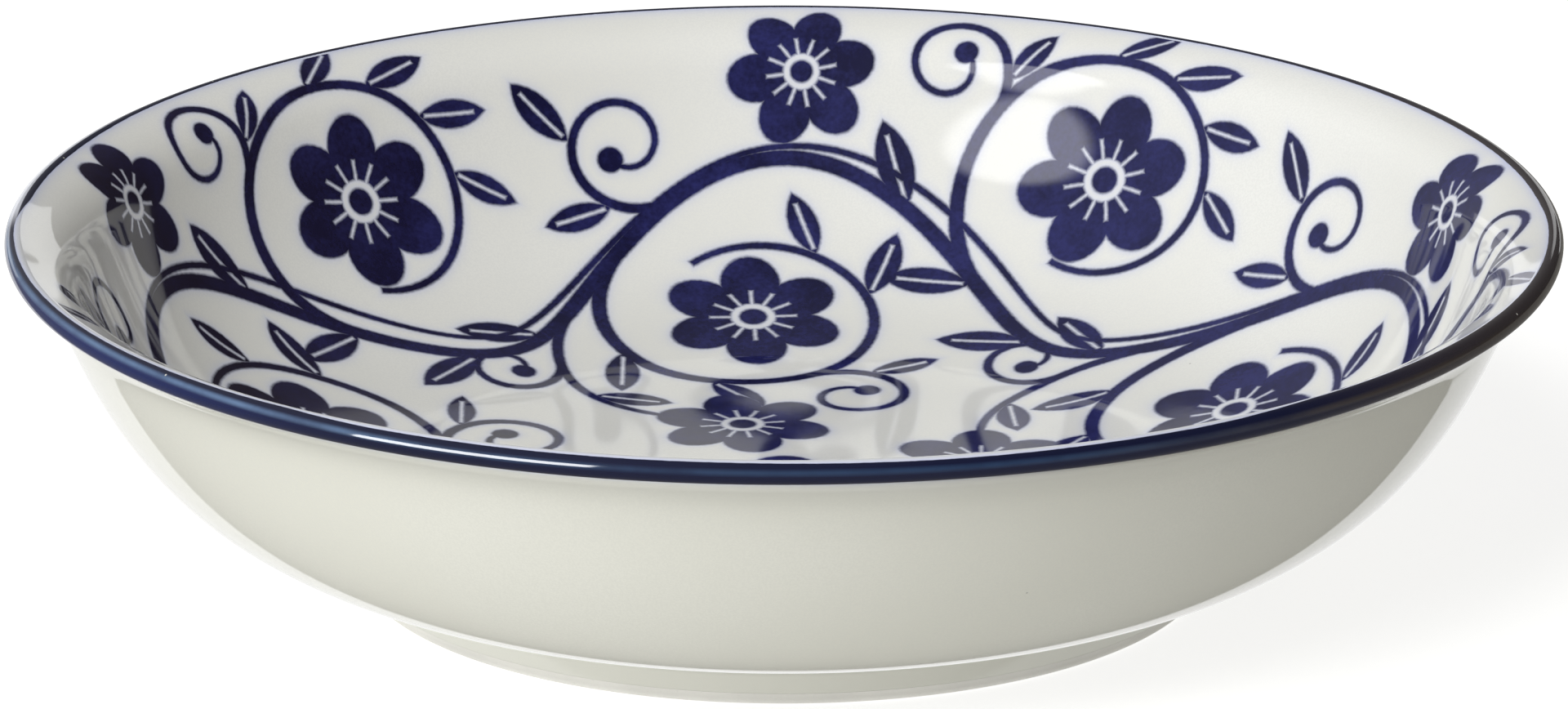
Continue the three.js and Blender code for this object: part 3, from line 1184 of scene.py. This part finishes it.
def add_floor():
    """A light table: it shows white, glows a little and still takes the bowl's shadow.

    In mirror images it is white behind a line that bends round the foot, and dim in front of it.
    """
    bpy.ops.object.select_all(action="DESELECT")
    bpy.ops.mesh.primitive_plane_add(size=FLOOR_SIDE, location=(0, 0, -FLOOR_DROP))
    floor = bpy.context.object
    floor.name = "floor"
    material, sheet = new_finish("floor")
    place = sheet.place()
    x, y = sheet.axes(place, "XY")
    soft = TABLE_EDGE / 2
    behind = sheet.ramp(y - x * x * TABLE_BEND, TABLE_FRONT - soft, TABLE_FRONT + soft)
    behind = behind * sheet.ramp(x, TABLE_RIGHT - soft, TABLE_RIGHT + soft, 1.0, 0.0)
    mirrored = sheet.mixed(behind, TABLE_DIM, WHITE)
    glossy = ray_is(sheet, "Glossy", "Transmission")
    colour_seen = sheet.mixed(glossy, WHITE, mirrored)
    strength = sheet.ramp(x, -GLOW_REACH, GLOW_REACH, GLOW_LEFT, GLOW_RIGHT)
    strength = strength.higher(ray_is(sheet, "Camera") * TABLE_SHOWN).higher(glossy)
    glow = sheet.node("Emission", None, {"Color": colour_seen, "Strength": strength})
    paint = sheet.node("BsdfDiffuse", None, {"Color": TABLE_PAINT})
    lit = sheet.node("MixShader", None, {0: glossy, 1: paint})
    both = sheet.node("AddShader", None, {0: lit, 1: glow})
    sheet.node("OutputMaterial", None, {"Surface": both})
    floor.data.materials.append(material)
    floor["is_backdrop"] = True


def add_lamp(name, location, width, height, power, lights=True, mirrored=True, core=1.0, fade=0.7):
    """A soft box that points at the bowl, full bright in its core and darker towards its edges.

    It can light the bowl, be mirrored in its glaze, or both.
    """
    data = bpy.data.lights.new(name, "AREA")
    data.shape = "RECTANGLE"
    data.size = width
    data.size_y = height
    data.energy = power
    data.use_nodes = True
    sheet = Sheet(data.node_tree)
    spot = sheet.node("NewGeometry", None, None, "Parametric")
    off_centre = [axis * 2.0 - 1.0 for axis in sheet.axes(spot, "XY")]
    dark = sheet.ramp(far(*off_centre), core, core + fade)
    glow = sheet.node("Emission", None, {"Color": sheet.mixed(dark, WHITE, BLACK)})
    sheet.node("OutputLight", None, {"Surface": glow})
    lamp = bpy.data.objects.new(name, data)
    lamp.location = location
    lamp.visible_diffuse = lights
    lamp.visible_glossy = mirrored
    aim = LAMP_AIM - Vector(location)
    lamp.rotation_euler = aim.to_track_quat("-Z", "Y").to_euler()
    bpy.context.scene.collection.objects.link(lamp)
    return lamp


def light_lip(lamp, lip, state):
    """Keeps a lamp to the lip or off it."""
    group = bpy.data.collections.new(lamp.name + "_lip")
    group.objects.link(lip)
    group.collection_objects[0].light_linking.link_state = state
    lamp.light_linking.receiver_collection = group


class BOWL_OT_stage(bpy.types.Operator):
    """Set the floor, the light and the camera"""

    bl_idname = "bowl.stage"
    bl_label = "Stage"

    def execute(self, context):
        scene = context.scene
        scene.view_settings.view_transform = "Standard"
        light_world(scene)
        add_floor()
        key = add_lamp("key", (-0.886, -0.803, 0.998), width=0.72, height=0.72, power=5.8, **MIRRORED_KEY)
        add_lamp("front", (-0.488, -1.018, 1.12), width=0.9, height=0.9, power=21.2, mirrored=False)
        strip = add_lamp("strip", (-0.68, -0.72, 0.19), width=0.63, height=0.36, power=12.0, lights=False)
        lip = scene.objects.get("band_lip")
        if lip:
            light_lip(key, lip, "EXCLUDE")
            light_lip(strip, lip, "INCLUDE")
        data = bpy.data.cameras.new("camera")
        data.sensor_width = SENSOR_WIDTH
        data.lens = FOCAL_PIXELS * SENSOR_WIDTH / PICTURE_WIDTH
        camera = bpy.data.objects.new("camera", data)
        camera.location = (
            0,
            -CAMERA_DISTANCE * math.cos(CAMERA_ELEVATION),
            CAMERA_DISTANCE * math.sin(CAMERA_ELEVATION) + CAMERA_HEIGHT,
        )
        camera.rotation_euler = (math.pi / 2 - CAMERA_TILT, 0, 0)
        scene.collection.objects.link(camera)
        scene.camera = camera
        return {"FINISHED"}


PIECES = (BOWL_OT_clay, BOWL_OT_white_coats, BOWL_OT_lip_band, BOWL_OT_printed_inside, BOWL_OT_stage)


class BOWL_PT_panel(bpy.types.Panel):
    """Lists the bowl's pieces and its sizes"""

    bl_idname = "BOWL_PT_panel"
    bl_label = "Porcelain bowl"
    bl_space_type = "VIEW_3D"
    bl_region_type = "UI"
    bl_category = "Bowl"

    def draw(self, context):
        for piece in PIECES:
            self.layout.operator(piece.bl_idname)
        for group in (context.scene.bowl_sizes, context.scene.bowl_colours):
            column = self.layout.column()
            for name in group.__annotations__:
                column.prop(group, name)


CLASSES = (BowlSizes, BowlColours, *PIECES, BOWL_PT_panel)


def register():
    for each in CLASSES:
        bpy.utils.register_class(each)
    bpy.types.Scene.bowl_sizes = bpy.props.PointerProperty(type=BowlSizes)
    bpy.types.Scene.bowl_colours = bpy.props.PointerProperty(type=BowlColours)


def unregister():
    del bpy.types.Scene.bowl_colours
    del bpy.types.Scene.bowl_sizes
    for each in reversed(CLASSES):
        bpy.utils.unregister_class(each)


def main():
    register()
    bpy.ops.bowl.clay()
    bpy.ops.bowl.white_coats()
    bpy.ops.bowl.lip_band()
    bpy.ops.bowl.printed_inside()
    bpy.ops.bowl.stage()
    visual_box = [list(corner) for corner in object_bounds()]
    {"cad": CAD_BOX, "visual": visual_box}


if __name__ == "__main__":
    main()
